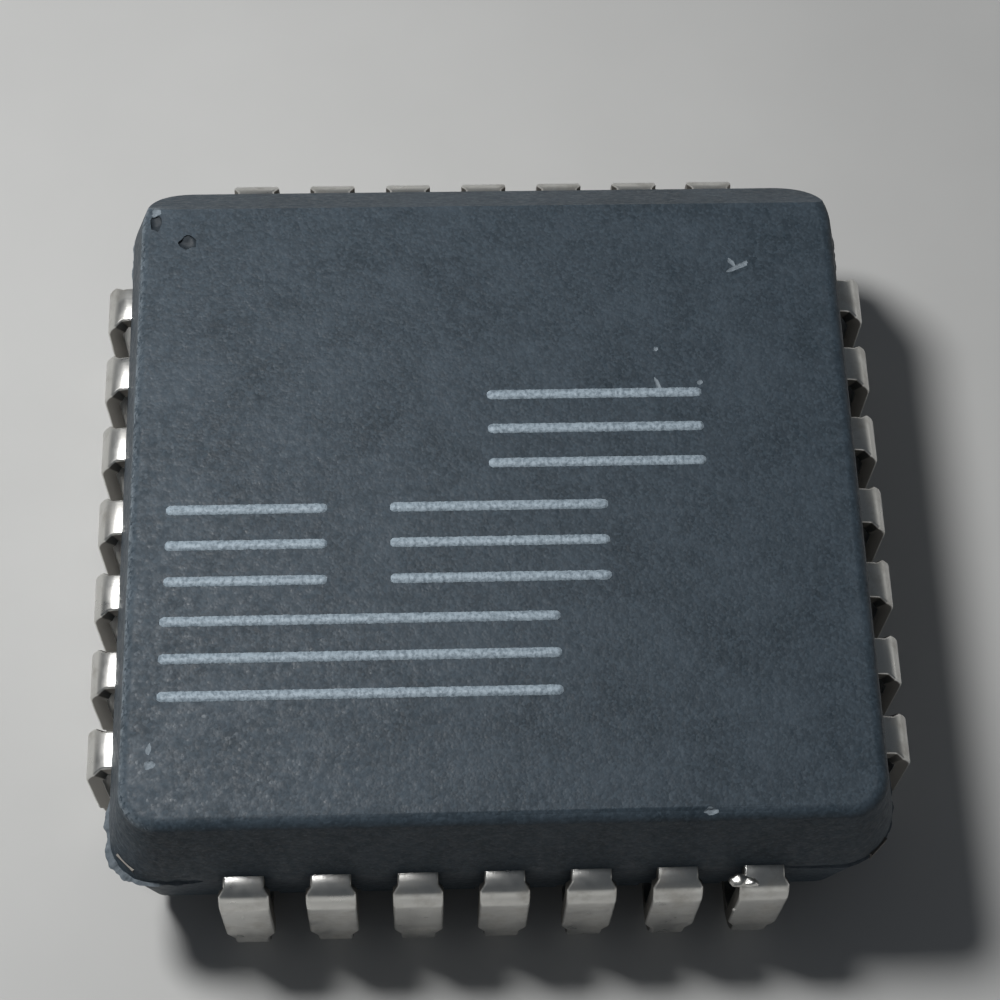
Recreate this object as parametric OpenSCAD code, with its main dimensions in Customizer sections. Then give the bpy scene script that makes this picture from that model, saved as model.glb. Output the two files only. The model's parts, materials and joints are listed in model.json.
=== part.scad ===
// Square plastic chip carrier: a moulded body with J leads on four sides, around a die on a lead frame.
// Millimetres. Z is up, the feet stand on Z = 0, and the bevelled first-pin side faces +Y.

/* [Package] */
// Leads on each of the four sides
leads_per_side = 7; // [5:2:13]
// Distance between the centre lines of neighbouring leads
lead_pitch = 1.27; // [1.2:0.01:1.4]
// From the last lead's centre line to the body's side, at the parting line
corner_margin = 1.98; // [1.8:0.01:2.3]
// From the seating plane up to the body's underside
standoff = 0.6; // [0.5:0.01:0.8]
// From the body's underside up to the lead frame
lower_h = 2.07; // [1.8:0.01:2.4]
// From the lead frame up to the top face
upper_h = 1.45; // [1.2:0.01:1.8]

/* [Moulding] */
// Lean of the sides above the lead frame, in degrees
upper_draft = 12.5; // [8:0.5:16]
// Lean of the sides below the lead frame, in degrees
lower_draft = 10; // [6:0.5:12]
// Radius of the upright corners at the parting line
corner_r = 0.9; // [0.85:0.01:1.1]
// Rounding of the top face's edge
top_edge_r = 0.2; // [0.08:0.01:0.25]
// Rounding of the underside's edge
bottom_edge_r = 0.1; // [0.05:0.01:0.15]
// How far the first-pin bevel cuts back the top face
bevel_setback = 0.78; // [0.4:0.01:0.85]
// Slope of the first-pin bevel below level, in degrees
bevel_angle = 49; // [35:1:52]
// Ejector pin mark in the underside: diameter
ejector_d = 3; // [2:0.1:3.6]
// Ejector pin mark: depth
ejector_depth = 0.06; // [0.03:0.01:0.15]

/* [Leads] */
// Thickness of the stamped sheet
lead_t = 0.25; // [0.2:0.01:0.3]
// Width where a lead leaves the body
root_w = 0.6; // [0.5:0.01:0.65]
// Width of the shoulder and the upright limb
shoulder_w = 0.74; // [0.66:0.01:0.81]
// Width of the rolled foot
foot_w = 0.53; // [0.4:0.01:0.6]
// Air between the limb and the body's side, at the parting line
lead_gap = 0.17; // [0.15:0.01:0.3]
// Outer radius of the shoulder bend
shoulder_r = 0.4; // [0.32:0.01:0.4]
// Outer radius of the rolled foot
foot_r = 0.85; // [0.7:0.01:0.95]
// Turn of the rolled foot from the limb to its tip, in degrees
foot_sweep = 155; // [130:1:160]
// Drop below the top of the shoulder at which the lead reaches its full width
dam_drop = 0.1; // [0.06:0.01:0.2]
// Height of the sloping step between the widths
width_step = 0.07; // [0.04:0.01:0.1]
// Length of full-width limb below the shoulder bend
limb_wide_h = 1.3; // [0.7:0.01:1.4]
// Height over which the limb narrows to the foot
limb_taper_h = 0.25; // [0.15:0.01:0.3]
// Room around a foot in its pocket in the underside
pocket_clearance = 0.13; // [0.1:0.01:0.18]
// Depth of the pockets in the underside
pocket_depth = 0.4; // [0.25:0.01:0.6]

/* [Lead frame and die] */
// From the body's side to the edge of the die pad
pad_margin = 2.6; // [2.4:0.05:2.9]
// Between the die pad and the tips of the fingers
pad_gap = 0.3; // [0.2:0.01:0.4]
// From the corner of the ring of tips to its last finger's centre line
tip_corner_gap = 0.75; // [0.65:0.01:0.9]
// Width of a finger at its tip
tip_w = 0.42; // [0.3:0.01:0.45]
// Straight part of a finger inside the body's side
finger_root_l = 0.75; // [0.5:0.01:1]
// Width of the tie bars from the pad to the corners
tie_w = 0.35; // [0.25:0.01:0.4]
// How much thinner than the sheet a tie bar is pressed, on each face
tie_coin = 0.025; // [0.02:0.005:0.04]
// Stub of a tie bar outside the body's corner
tie_stub = 0.03; // [0.02:0.01:0.08]
// Die, across the package
die_l = 3.2; // [2.4:0.05:3.5]
// Die, along the package
die_w = 2.8; // [2.2:0.05:3.5]
// Die thickness
die_t = 0.38; // [0.25:0.01:0.5]
// Thickness of the film that holds the die
attach_t = 0.03; // [0.02:0.005:0.05]
// Film around the die on each side
attach_edge = 0.08; // [0.04:0.01:0.12]
// Bond wire thickness
wire_d = 0.033; // [0.025:0.001:0.05]
// Height of the wire loops above the die
loop_h = 0.3; // [0.2:0.01:0.45]
// From the die's edge in to the wires
wire_inset = 0.14; // [0.1:0.01:0.2]
// From a finger's tip out to its wire
wire_land = 0.2; // [0.12:0.01:0.3]

/* [Hidden] */
lead_count = 4 * leads_per_side;
middle = (leads_per_side - 1) / 2;
body_w = (leads_per_side - 1) * lead_pitch + 2 * corner_margin;
half = body_w / 2;
corner_c = half - corner_r;
frame_z = standoff + lower_h;
frame_top = frame_z + lead_t;
top_z = frame_top + upper_h;
top_half = half - upper_h * tan(upper_draft);
lead_out = half + lead_gap + lead_t;
foot_x = lead_out - foot_r;
foot_tip_z = foot_r - (foot_r - lead_t) * sin(foot_sweep);
pocket_top = max(standoff + pocket_depth, foot_tip_z + pocket_clearance);
pocket_in = foot_x + foot_r * cos(foot_sweep) - pocket_clearance;
pad_w = body_w - 2 * pad_margin;
downset = die_t + attach_t;
pad_z = frame_z - downset;
tip_x = pad_w / 2 + pad_gap;
finger_x = half - finger_root_l;
corner_reach = corner_c * sqrt(2) + corner_r;
facets = 72;
// Flat steps in a rounded edge and in a wire's arc
edge_steps = 5;
wire_steps = 8;
// Level part of a tie bar outside the pad's corner
tie_level = 0.15;
// Lean of a pocket's inner end, as run over rise
pocket_lean = 0.3;
// How far cutting shapes reach past what they cut
slack = 0.5;

function lead_name(pin) = str("lead_", pin < 10 ? "0" : "", pin);
// Pins count anticlockwise from above, and the first is in the middle of the bevelled side.
function place_of(pin) = (pin - 1 + middle) % lead_count;
function side_of(pin) = floor(place_of(pin) / leads_per_side);
function step_of(pin) = place_of(pin) % leads_per_side - middle;
function tip_shift(step) = step * ((tip_x - tip_corner_gap) / middle - lead_pitch);

// Turns a side's own frame, outward along X, to its place on the package.
module on_side(side) rotate([0, 0, 90 * (side + 1)]) children();

module at_lead(pin) on_side(side_of(pin)) translate([0, step_of(pin) * lead_pitch, 0]) children();

// One upright corner of a half of the mould, leaning in and rounded at its end.
// The lean starts at height "start" above the corner's base and ends at height "end".
module corner_post(start, end, lean, edge) {
    centre_z = end - edge;
    centre_r = corner_r - ((centre_z - start) * sin(lean) + edge) / cos(lean);
    rotate_extrude($fn = facets)
        polygon(concat(
            [[0, 0], [corner_r, 0], [corner_r, start]],
            [for (i = [0:edge_steps]) let (a = lean + i * (90 - lean) / edge_steps)
                [centre_r + edge * cos(a), centre_z + edge * sin(a)]],
            [[0, end]]
        ));
}

module four_corners() for (x = [-1, 1], y = [-1, 1])
    translate([x * corner_c, y * corner_c, 0]) children();

module upper_half() translate([0, 0, frame_z])
    hull() four_corners() corner_post(lead_t, lead_t + upper_h, upper_draft, top_edge_r);

module lower_half() translate([0, 0, frame_z]) mirror([0, 0, 1])
    hull() four_corners() corner_post(0, lower_h, lower_draft, bottom_edge_r);

module first_pin_bevel()
    translate([0, top_half - bevel_setback, top_z]) rotate([-bevel_angle, 0, 0])
        translate([-half - slack, -slack, 0]) cube([body_w + 2 * slack, half, half]);

// Room under the body for one rolled foot, with a sloping inner end.
module foot_pocket()
    rotate([90, 0, 0]) linear_extrude(foot_w + 2 * pocket_clearance, center = true)
        polygon([
            [pocket_in, standoff - slack], [pocket_in, standoff],
            [pocket_in + pocket_lean * (pocket_top - standoff), pocket_top],
            [half + slack, pocket_top], [half + slack, standoff - slack]
        ]);

// The part of a lead that is moulded in, fanned from the body's side to the ring of tips.
module finger(step) {
    s = tip_shift(step);
    translate([0, 0, frame_z]) linear_extrude(lead_t)
        polygon([
            [half, -root_w / 2], [half, root_w / 2], [finger_x, root_w / 2],
            [tip_x, s + tip_w / 2], [tip_x, s - tip_w / 2], [finger_x, -root_w / 2]
        ]);
}

// The side view of the formed part: shoulder, upright limb and rolled foot.
module formed_profile() {
    far = 2 * foot_r;
    translate([half, frame_z]) square([lead_out - shoulder_r - half, lead_t]);
    translate([lead_out - shoulder_r, frame_top - shoulder_r]) intersection() {
        ring(shoulder_r);
        square(shoulder_r);
    }
    translate([lead_out - lead_t, foot_r]) square([lead_t, frame_top - shoulder_r - foot_r]);
    translate([foot_x, foot_r]) intersection() {
        ring(foot_r);
        polygon([
            [0, 0], [far, 0], [far, -far], [-far, -far], [far * cos(foot_sweep), -far * sin(foot_sweep)]
        ]);
    }
}

module ring(r) difference() {
    circle(r, $fn = facets);
    circle(r - lead_t, $fn = facets);
}

// The front view of the formed part: its width at each height.
module formed_widths() {
    wide_z = frame_top - dam_drop;
    taper_z = frame_top - shoulder_r - limb_wide_h;
    edge = [
        [root_w / 2, frame_top + slack], [root_w / 2, wide_z + width_step],
        [shoulder_w / 2, wide_z], [shoulder_w / 2, taper_z],
        [foot_w / 2, taper_z - limb_taper_h], [foot_w / 2, -slack]
    ];
    polygon(concat(edge, [for (i = [len(edge) - 1:-1:0]) [-edge[i][0], edge[i][1]]]));
}

module formed_lead() intersection() {
    rotate([90, 0, 0]) linear_extrude(shoulder_w + slack, center = true) formed_profile();
    translate([foot_x - foot_r - slack, 0, 0]) rotate([90, 0, 90])
        linear_extrude(2 * foot_r + 2 * slack) formed_widths();
}

module lead(pin) color([0.78, 0.78, 0.76]) at_lead(pin) {
    finger(step_of(pin));
    formed_lead();
}

// One tie bar along the diagonal, stepping up from the pad to the lead frame.
module tie_bar() {
    start = pad_w / sqrt(2) - tie_w;
    low = pad_w / sqrt(2) + tie_level;
    high = low + downset;
    end = corner_reach + tie_stub;
    z1 = pad_z + tie_coin;
    z2 = z1 + downset;
    thick = lead_t - 2 * tie_coin;
    ease = thick * tan(22.5);
    rotate([90, 0, 0]) linear_extrude(tie_w, center = true)
        polygon([
            [start, z1], [low, z1], [high, z2], [end, z2],
            [end, z2 + thick], [high - ease, z2 + thick], [low - ease, z1 + thick], [start, z1 + thick]
        ]);
}

module die_pad() color([0.72, 0.45, 0.3]) {
    translate([-pad_w / 2, -pad_w / 2, pad_z]) cube([pad_w, pad_w, lead_t]);
    for (side = [0:3]) on_side(side) rotate([0, 0, 45]) tie_bar();
}

module die_attach() color([0.8, 0.8, 0.82])
    translate([-die_l / 2 - attach_edge, -die_w / 2 - attach_edge, pad_z + lead_t])
        cube([die_l + 2 * attach_edge, die_w + 2 * attach_edge, attach_t]);

module die() color([0.35, 0.36, 0.42])
    translate([-die_l / 2, -die_w / 2, frame_top - die_t]) cube([die_l, die_w, die_t]);

// One wire, a flat arc standing on the line from its pad on the die to its finger.
module bond_wire(pin) {
    step = step_of(pin);
    across = side_of(pin) % 2 == 0;
    reach = (across ? die_w : die_l) / 2 - wire_inset;
    spread = ((across ? die_l : die_w) / 2 - 2 * wire_inset) / middle;
    tip_y = step * lead_pitch + tip_shift(step) * (1 - wire_land / (finger_x - tip_x));
    from = [reach, step * spread];
    to = [tip_x + wire_land, tip_y];
    run = norm(to - from);
    r = (run * run / 4 + loop_h * loop_h) / (2 * loop_h);
    drop = r - loop_h;
    outer = r + wire_d / 2;
    inner = r - wire_d / 2;
    middle_xy = (from + to) / 2;
    heading = atan2(to[1] - from[1], to[0] - from[0]);
    on_side(side_of(pin)) translate([middle_xy[0], middle_xy[1], frame_top]) rotate([0, 0, heading])
        rotate([90, 0, 0]) linear_extrude(wire_d, center = true)
            polygon(concat(wire_arc(outer, drop, 1), wire_arc(inner, drop, -1)));
}

// Points along an arc that starts and ends on the level line "drop" above its centre.
function wire_arc(radius, drop, way) = [
    for (i = [0:wire_steps]) let (a = way * acos(drop / radius) * (2 * i / wire_steps - 1))
        [radius * sin(a), radius * cos(a) - drop]
];

module bond_wires() color([0.9, 0.75, 0.35]) for (pin = [1:lead_count]) bond_wire(pin);

module moulded_body() color([0.24, 0.27, 0.3]) difference() {
    union() {
        difference() {
            upper_half();
            first_pin_bevel();
        }
        lower_half();
    }
    for (pin = [1:lead_count]) at_lead(pin) {
        foot_pocket();
        finger(step_of(pin));
    }
    translate([0, 0, standoff - slack]) cylinder(h = slack + ejector_depth, d = ejector_d);
    die_pad();
    die_attach();
    die();
    bond_wires();
}

moulded_body();
die_pad();
die_attach();
die();
bond_wires();
for (pin = [1:lead_count]) lead(pin);
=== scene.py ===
# %% [markdown]
# # A chip in a moulded body with J-shaped leads
# The chip is a square block of dark resin, about 11.6 mm wide. Seven tinned leads leave each side
# at half height, bend down and roll under the body. The solid model is loaded first and is never
# moved: it gives every size and place, and each step here dresses one part of it. All lengths in
# Blender are metres, so sizes that a caliper would read are written in millimetres and multiplied
# by one named value.

# %% Load the frame
import json
import math

import bmesh
import bpy
import numpy as np
from mathutils import Matrix, Vector, noise
from mathutils.bvhtree import BVHTree

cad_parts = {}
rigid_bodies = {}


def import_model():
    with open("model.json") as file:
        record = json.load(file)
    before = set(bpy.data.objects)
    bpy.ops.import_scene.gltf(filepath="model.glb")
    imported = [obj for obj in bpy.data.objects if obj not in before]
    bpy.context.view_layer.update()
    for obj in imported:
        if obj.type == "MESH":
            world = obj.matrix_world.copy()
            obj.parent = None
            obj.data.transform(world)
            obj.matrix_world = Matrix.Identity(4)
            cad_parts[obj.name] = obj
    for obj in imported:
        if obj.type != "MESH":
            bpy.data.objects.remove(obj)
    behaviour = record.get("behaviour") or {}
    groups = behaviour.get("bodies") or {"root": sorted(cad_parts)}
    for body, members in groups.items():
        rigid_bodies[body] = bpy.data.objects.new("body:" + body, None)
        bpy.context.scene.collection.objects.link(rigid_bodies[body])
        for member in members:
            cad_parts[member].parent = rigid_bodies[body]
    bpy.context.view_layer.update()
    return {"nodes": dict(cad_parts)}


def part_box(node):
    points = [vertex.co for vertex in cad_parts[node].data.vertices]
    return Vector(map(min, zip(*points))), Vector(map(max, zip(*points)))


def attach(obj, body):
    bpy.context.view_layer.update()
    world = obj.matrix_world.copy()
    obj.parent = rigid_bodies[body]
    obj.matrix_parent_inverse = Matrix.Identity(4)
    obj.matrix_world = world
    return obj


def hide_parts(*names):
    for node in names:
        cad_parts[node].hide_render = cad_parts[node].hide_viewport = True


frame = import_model()
scene = bpy.context.scene
mm = 0.001

# %% [markdown]
# ## Sizes
# The body's box and one lead's box give the main sizes. What a box can't tell, such as a bend's
# radius or a side's lean, is a named value of its own. Reading the boxes keeps the dressed pieces
# on the solids, and changing one named value reshapes every copy that uses it.

# %% Read the driving sizes
body_low, body_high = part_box("moulded_body")
lead_low, lead_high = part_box("lead_15")
half = body_high.x
underside = body_low.z
top = body_high.z
sheet = 0.25 * mm
sheet_top = lead_high.z
sheet_bottom = sheet_top - sheet
lead_reach = -lead_low.y
finger_tip = -lead_high.y
shoulder_width = lead_high.x - lead_low.x
leads_per_side = 7
pitch = 1.27 * mm
print("half width", round(half / mm, 3), "sheet top", round(sheet_top / mm, 3),
      "reach", round(lead_reach / mm, 3))

# %% [markdown]
# ## Camera
# The photograph looks down steeply from the front, a little from the left, with the frame turned by
# about three degrees. A look-at constraint would be quicker, but it can't hold that small turn, so
# the three axes of the camera are worked out and written as one matrix.

# %% Place the camera
camera_target = Vector((0.108, 0.214, 2.85)) * mm
camera_azimuth = math.radians(-4.75)
camera_height = math.radians(65.03)
camera_turn = math.radians(3.39)
camera_distance = 35.85 * mm
camera_lens = 81.94

camera = bpy.data.objects.new("camera", bpy.data.cameras.new("camera"))
scene.collection.objects.link(camera)
back = Vector((
    math.sin(camera_azimuth) * math.cos(camera_height),
    -math.cos(camera_azimuth) * math.cos(camera_height),
    math.sin(camera_height),
))
level = Vector((math.cos(camera_azimuth), math.sin(camera_azimuth), 0))
upward = back.cross(level)
right = level * math.cos(camera_turn) + upward * math.sin(camera_turn)
camera_axes = Matrix((right, back.cross(right), back)).transposed().to_4x4()
camera.matrix_world = Matrix.Translation(camera_target + back * camera_distance) @ camera_axes
camera.data.lens = camera_lens
camera.data.sensor_width = 36
camera.data.clip_start = 0.001
camera.data.clip_end = 10
scene.camera = camera
print("camera at", [round(v / mm, 2) for v in camera.location], "mm")

# %% [markdown]
# ## Helpers for node trees
# Colours are written as sRGB hex values, as a paint chart gives them, and Blender's sockets want
# linear light. Every tree below, for a finish or for a shape, is made with one function that adds a
# node, changes its settings and feeds its inputs with a value or with another node's output.

# %% Define the helpers
def linear(hex_colour):
    """Turns an sRGB hex colour into the linear colour that a socket takes."""
    parts = [int(hex_colour[i:i + 2], 16) / 255 for i in (1, 3, 5)]
    return (*(p / 12.92 if p <= 0.04045 else ((p + 0.055) / 1.055) ** 2.4 for p in parts), 1.0)


def add_node(tree, kind, feeds=None, **settings):
    """Adds a node with its settings, and feeds its inputs with values or with outputs of other nodes."""
    made = tree.nodes.new(kind)
    for name, value in settings.items():
        setattr(made, name, value)
    for socket, value in (feeds or {}).items():
        if isinstance(value, bpy.types.NodeSocket):
            tree.links.new(value, made.inputs[socket])
        else:
            made.inputs[socket].default_value = value
    return made


def start_finish(name):
    """Starts a material: gives it, its tree, its shader and the Object coordinates its patterns read."""
    finish = bpy.data.materials.new(name)
    finish.use_nodes = True
    tree = finish.node_tree
    place = add_node(tree, "ShaderNodeTexCoord").outputs["Object"]
    return finish, tree, tree.nodes["Principled BSDF"], place


print("linear mid grey", [round(v, 3) for v in linear("#808080")])

# %% [markdown]
# ## Finish of the body: filled epoxy moulding compound
# The body is epoxy with about three quarters of its weight of ground silica and some carbon black,
# pressed into a steel cavity whose walls were spark eroded. That gives the eye a dull slate grey with
# a fine sandy grain. One noise would look like cloud or like worms, so the grain is three patterns
# together: a soft mottle, pebbles left by the cavity wall, and single grains of filler. The grains are
# the cells of a Voronoi pattern, each with a random tone and gloss of its own, so some catch the light.
# Real grains are about 0.02 mm, which the render can't show, so they are drawn at 0.042 mm. On the
# rounded left edge of the top, which is found by its place, pale grains are a painted highlight, on the side
# the lamp lights.

# %% Make the moulding compound
compound, tree, shader, place = start_finish("filled_epoxy_moulding_compound")
mottle = add_node(tree, "ShaderNodeTexNoise", {
    "Vector": place, "Scale": 1 / (1.1 * mm), "Detail": 5.0, "Roughness": 0.8}).outputs["Fac"]
pebbles = add_node(tree, "ShaderNodeTexNoise", {
    "Vector": place, "Scale": 1 / (0.12 * mm), "Detail": 2.0, "Roughness": 0.5}).outputs["Fac"]
grains = add_node(tree, "ShaderNodeTexVoronoi", {"Vector": place, "Scale": 1 / (0.042 * mm)})
grain_pick = add_node(tree, "ShaderNodeSeparateColor", {"Color": grains.outputs["Color"]})

mottle_share = add_node(tree, "ShaderNodeMapRange", {
    "Value": mottle, "From Min": 0.32, "From Max": 0.68}).outputs["Result"]
resin_tone = add_node(tree, "ShaderNodeMix", {
    0: mottle_share, 6: linear("#222d35"), 7: linear("#39444d")}, data_type="RGBA").outputs[2]
pale_share = add_node(tree, "ShaderNodeMapRange", {
    "Value": grain_pick.outputs["Red"], "From Min": 0.35, "To Max": 0.5}).outputs["Result"]
grain_tone = add_node(tree, "ShaderNodeMix", {
    0: pale_share, 6: resin_tone, 7: linear("#44515b")}, data_type="RGBA").outputs[2]

# Painted highlight: pale grains along the rounded left edge of the top, where the lamp's light falls, drawn
# as a glint line.
spot = add_node(tree, "ShaderNodeSeparateXYZ", {0: place})
in_edge = add_node(tree, "ShaderNodeMapRange", {
    "Value": spot.outputs["Z"], "From Min": top - 0.2 * mm, "From Max": top}).outputs["Result"]
edge_hump = add_node(tree, "ShaderNodeMath", {0: in_edge, 1: 0.5}, operation="PINGPONG").outputs[0]
on_left = add_node(tree, "ShaderNodeMapRange", {
    "Value": spot.outputs["X"], "From Min": -4.9 * mm, "From Max": -5.3 * mm}).outputs["Result"]
lit_left_edge = add_node(tree, "ShaderNodeMath", {0: edge_hump, 1: on_left}, operation="MULTIPLY").outputs[0]
painted_edge_glint = add_node(tree, "ShaderNodeMath", {
    0: lit_left_edge, 1: grain_pick.outputs["Green"]}, operation="MULTIPLY").outputs[0]
# The painted highlight's pale tone #a3aeb6 is mixed over the grains here, on the lit left edge only.
body_tone = add_node(tree, "ShaderNodeMix", {
    0: painted_edge_glint, 6: grain_tone, 7: linear("#a3aeb6")}, data_type="RGBA").outputs[2]

body_gloss = add_node(tree, "ShaderNodeMapRange", {
    "Value": pebbles, "From Min": 0.3, "From Max": 0.7, "To Min": 0.5, "To Max": 0.68}).outputs["Result"]
grain_gloss = add_node(tree, "ShaderNodeMapRange", {
    "Value": grain_pick.outputs["Blue"], "From Min": 0.8, "To Max": 0.1}).outputs["Result"]
skin_gloss = add_node(tree, "ShaderNodeMath", {
    0: body_gloss, 1: grain_gloss}, operation="SUBTRACT").outputs[0]
pebble_bump = add_node(tree, "ShaderNodeBump", {
    "Height": pebbles, "Strength": 0.8, "Distance": 0.014 * mm}).outputs["Normal"]
grain_bump = add_node(tree, "ShaderNodeBump", {
    "Height": grains.outputs["Distance"], "Strength": 0.5, "Distance": 0.004 * mm, "Normal": pebble_bump},
    invert=True).outputs["Normal"]
shader.inputs["IOR"].default_value = 1.52
shader.inputs["Specular IOR Level"].default_value = 0.3
for socket, value in (("Base Color", body_tone), ("Roughness", skin_gloss), ("Normal", grain_bump)):
    tree.links.new(value, shader.inputs[socket])
print(compound.name, "with", len(tree.nodes), "nodes")

# %% [markdown]
# ## Two finishes of damaged resin
# Where the skin of the moulding is scraped off, crushed filler shows as a paler, rougher patch. Where
# an air bubble reached the cavity wall, the void has a dull lining, and its dark tone is painted shade
# inside the hollow. Both are small, so each has one noise for its variation, and the cutting shapes
# further down carry them into the body. The lining has two tones and no bump, as some finishes further down
# have, so one function makes them all.

# %% Make the scraped and the void finish
def two_tone_finish(name, colours, size, detail, roughness, metallic=0.0):
    """A finish of two tones mixed by one noise of a size in millimetres, with a gloss that follows it."""
    finish, tree, shader, place = start_finish(name)
    spread = add_node(tree, "ShaderNodeTexNoise", {
        "Vector": place, "Scale": 1 / (size * mm), "Detail": detail}).outputs["Fac"]
    tone = add_node(tree, "ShaderNodeMix", {
        0: spread, 6: linear(colours[0]), 7: linear(colours[1])}, data_type="RGBA").outputs[2]
    dullness = add_node(tree, "ShaderNodeMapRange", {
        "Value": spread, "To Min": roughness[0], "To Max": roughness[1]}).outputs["Result"]
    shader.inputs["Metallic"].default_value = metallic
    tree.links.new(tone, shader.inputs["Base Color"])
    tree.links.new(dullness, shader.inputs["Roughness"])
    return finish


scraped, tree, shader, place = start_finish("scraped_moulding_compound")
crumbs = add_node(tree, "ShaderNodeTexNoise", {
    "Vector": place, "Scale": 1 / (0.05 * mm), "Detail": 2.0}).outputs["Fac"]
scraped_tone = add_node(tree, "ShaderNodeMix", {
    0: crumbs, 6: linear("#545f68"), 7: linear("#8d979e")}, data_type="RGBA").outputs[2]
scraped_bump = add_node(tree, "ShaderNodeBump", {
    "Height": crumbs, "Strength": 0.6, "Distance": 0.01 * mm}).outputs["Normal"]
shader.inputs["Roughness"].default_value = 0.75
tree.links.new(scraped_tone, shader.inputs["Base Color"])
tree.links.new(scraped_bump, shader.inputs["Normal"])

# Painted shade: the void lining is darker than the resin around it, standing in for the shade inside the
# hollow.
shaded_void_lining = two_tone_finish("epoxy_void_lining_with_painted_shade", ("#1c2329", "#2c353c"), 0.06, 2.0, (0.55, 0.8))
print("damage finishes:", scraped.name, shaded_void_lining.name)

# %% [markdown]
# ## Finish of the leads: satin tin plating
# The leads are a rolled copper alloy under some 8 micrometres of electroplated tin. Plating keeps the
# long rolling marks of the strip and adds a soft satin gloss, with duller patches where fingers and
# feeders touched it. The marks run along each strip, also round its bends, so they are drawn on the
# place that each point had on the flat strip, which the forming step below keeps as an attribute. A
# second attribute tells the sides that the stamp sheared. They are rougher, and a darker tone on them
# is painted shade, the shade that falls between neighbouring leads.
# Real marks are a few micrometres wide, and they are drawn at 0.02 mm to show at all.

# %% Make the tin plating
sheared_roughness = 0.55
tin, tree, shader, place = start_finish("satin_tin_plating")
flat_place = add_node(tree, "ShaderNodeAttribute", attribute_name="flat_place").outputs["Vector"]
rolled_place = add_node(tree, "ShaderNodeMapping", {
    "Vector": flat_place, "Scale": (1 / (0.02 * mm), 1 / (0.7 * mm), 1 / (0.02 * mm))}).outputs["Vector"]
marks = add_node(tree, "ShaderNodeTexNoise", {
    "Vector": rolled_place, "Scale": 1.0, "Detail": 2.0}).outputs["Fac"]
patches = add_node(tree, "ShaderNodeTexNoise", {
    "Vector": place, "Scale": 1 / (0.45 * mm), "Detail": 4.0, "Roughness": 0.65}).outputs["Fac"]
crystals = add_node(tree, "ShaderNodeTexNoise", {
    "Vector": place, "Scale": 1 / (0.03 * mm), "Detail": 1.0}).outputs["Fac"]
dull_share = add_node(tree, "ShaderNodeMapRange", {
    "Value": patches, "From Min": 0.48, "From Max": 0.72}).outputs["Result"]
tin_tone = add_node(tree, "ShaderNodeMix", {
    0: dull_share, 6: linear("#dad9d5"), 7: linear("#b8b5af")}, data_type="RGBA").outputs[2]
sheared = add_node(tree, "ShaderNodeAttribute", attribute_name="sheared").outputs["Fac"]
# Painted shade: the sheared sides, which face the neighbouring leads, take the darker tone #83807b; their
# higher roughness is real.
tone_with_painted_side_shade = add_node(tree, "ShaderNodeMix", {
    0: sheared, 6: tin_tone, 7: linear("#83807b")}, data_type="RGBA").outputs[2]
tin_gloss = add_node(tree, "ShaderNodeMapRange", {
    "Value": patches, "From Min": 0.3, "From Max": 0.75, "To Min": 0.26, "To Max": 0.45}).outputs["Result"]
lead_gloss = add_node(tree, "ShaderNodeMix", {
    0: sheared, 2: tin_gloss, 3: sheared_roughness}, data_type="FLOAT").outputs[0]
mark_bump = add_node(tree, "ShaderNodeBump", {
    "Height": marks, "Strength": 0.25, "Distance": 0.004 * mm}).outputs["Normal"]
tin_bump = add_node(tree, "ShaderNodeBump", {
    "Height": crystals, "Strength": 0.15, "Distance": 0.003 * mm, "Normal": mark_bump}).outputs["Normal"]
shader.inputs["Metallic"].default_value = 1.0
for socket, value in (("Base Color", tone_with_painted_side_shade), ("Roughness", lead_gloss), ("Normal", tin_bump)):
    tree.links.new(value, shader.inputs[socket])
print(tin.name, "with", len(tree.nodes), "nodes")

# %% [markdown]
# ## Helpers for meshes
# A mesh that is built in code becomes an object at the origin, with its place in its points. Modifiers
# and node trees are run once and kept as a plain mesh, so the part doesn't depend on anything that is
# still to be worked out.

# %% Define the mesh helpers
def new_object(name, built, finishes):
    """Makes an object from a bmesh, with smooth faces and its finishes in slots."""
    mesh = bpy.data.meshes.new(name)
    built.to_mesh(mesh)
    built.free()
    mesh.shade_smooth()
    for finish in finishes:
        mesh.materials.append(finish)
    made = bpy.data.objects.new(name, mesh)
    scene.collection.objects.link(made)
    return made


def keep_result(made):
    """Runs an object's modifiers and keeps what comes out as its plain mesh."""
    depsgraph = bpy.context.evaluated_depsgraph_get()
    result = bpy.data.meshes.new_from_object(
        made.evaluated_get(depsgraph), preserve_all_data_layers=True, depsgraph=depsgraph)
    made.modifiers.clear()
    made.data = result
    return made


def run_tree(made, tree, sizes):
    """Runs a geometry tree on an object, with its named inputs set by their identifiers."""
    step = made.modifiers.new(tree.name, "NODES")
    step.node_group = tree
    for socket in tree.interface.items_tree:
        if socket.in_out == "INPUT" and socket.name in sizes:
            step[socket.identifier] = sizes[socket.name]
    return keep_result(made)


def start_tree(name, inputs):
    """Starts a geometry tree with named inputs: gives it, its input node and its output node."""
    tree = bpy.data.node_groups.new(name, "GeometryNodeTree")
    tree.interface.new_socket("Geometry", in_out="INPUT", socket_type="NodeSocketGeometry")
    for label, kind in inputs:
        tree.interface.new_socket(label, in_out="INPUT", socket_type=kind)
    tree.interface.new_socket("Geometry", in_out="OUTPUT", socket_type="NodeSocketGeometry")
    return tree, add_node(tree, "NodeGroupInput"), add_node(tree, "NodeGroupOutput")


print("mesh helpers ready")

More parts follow.
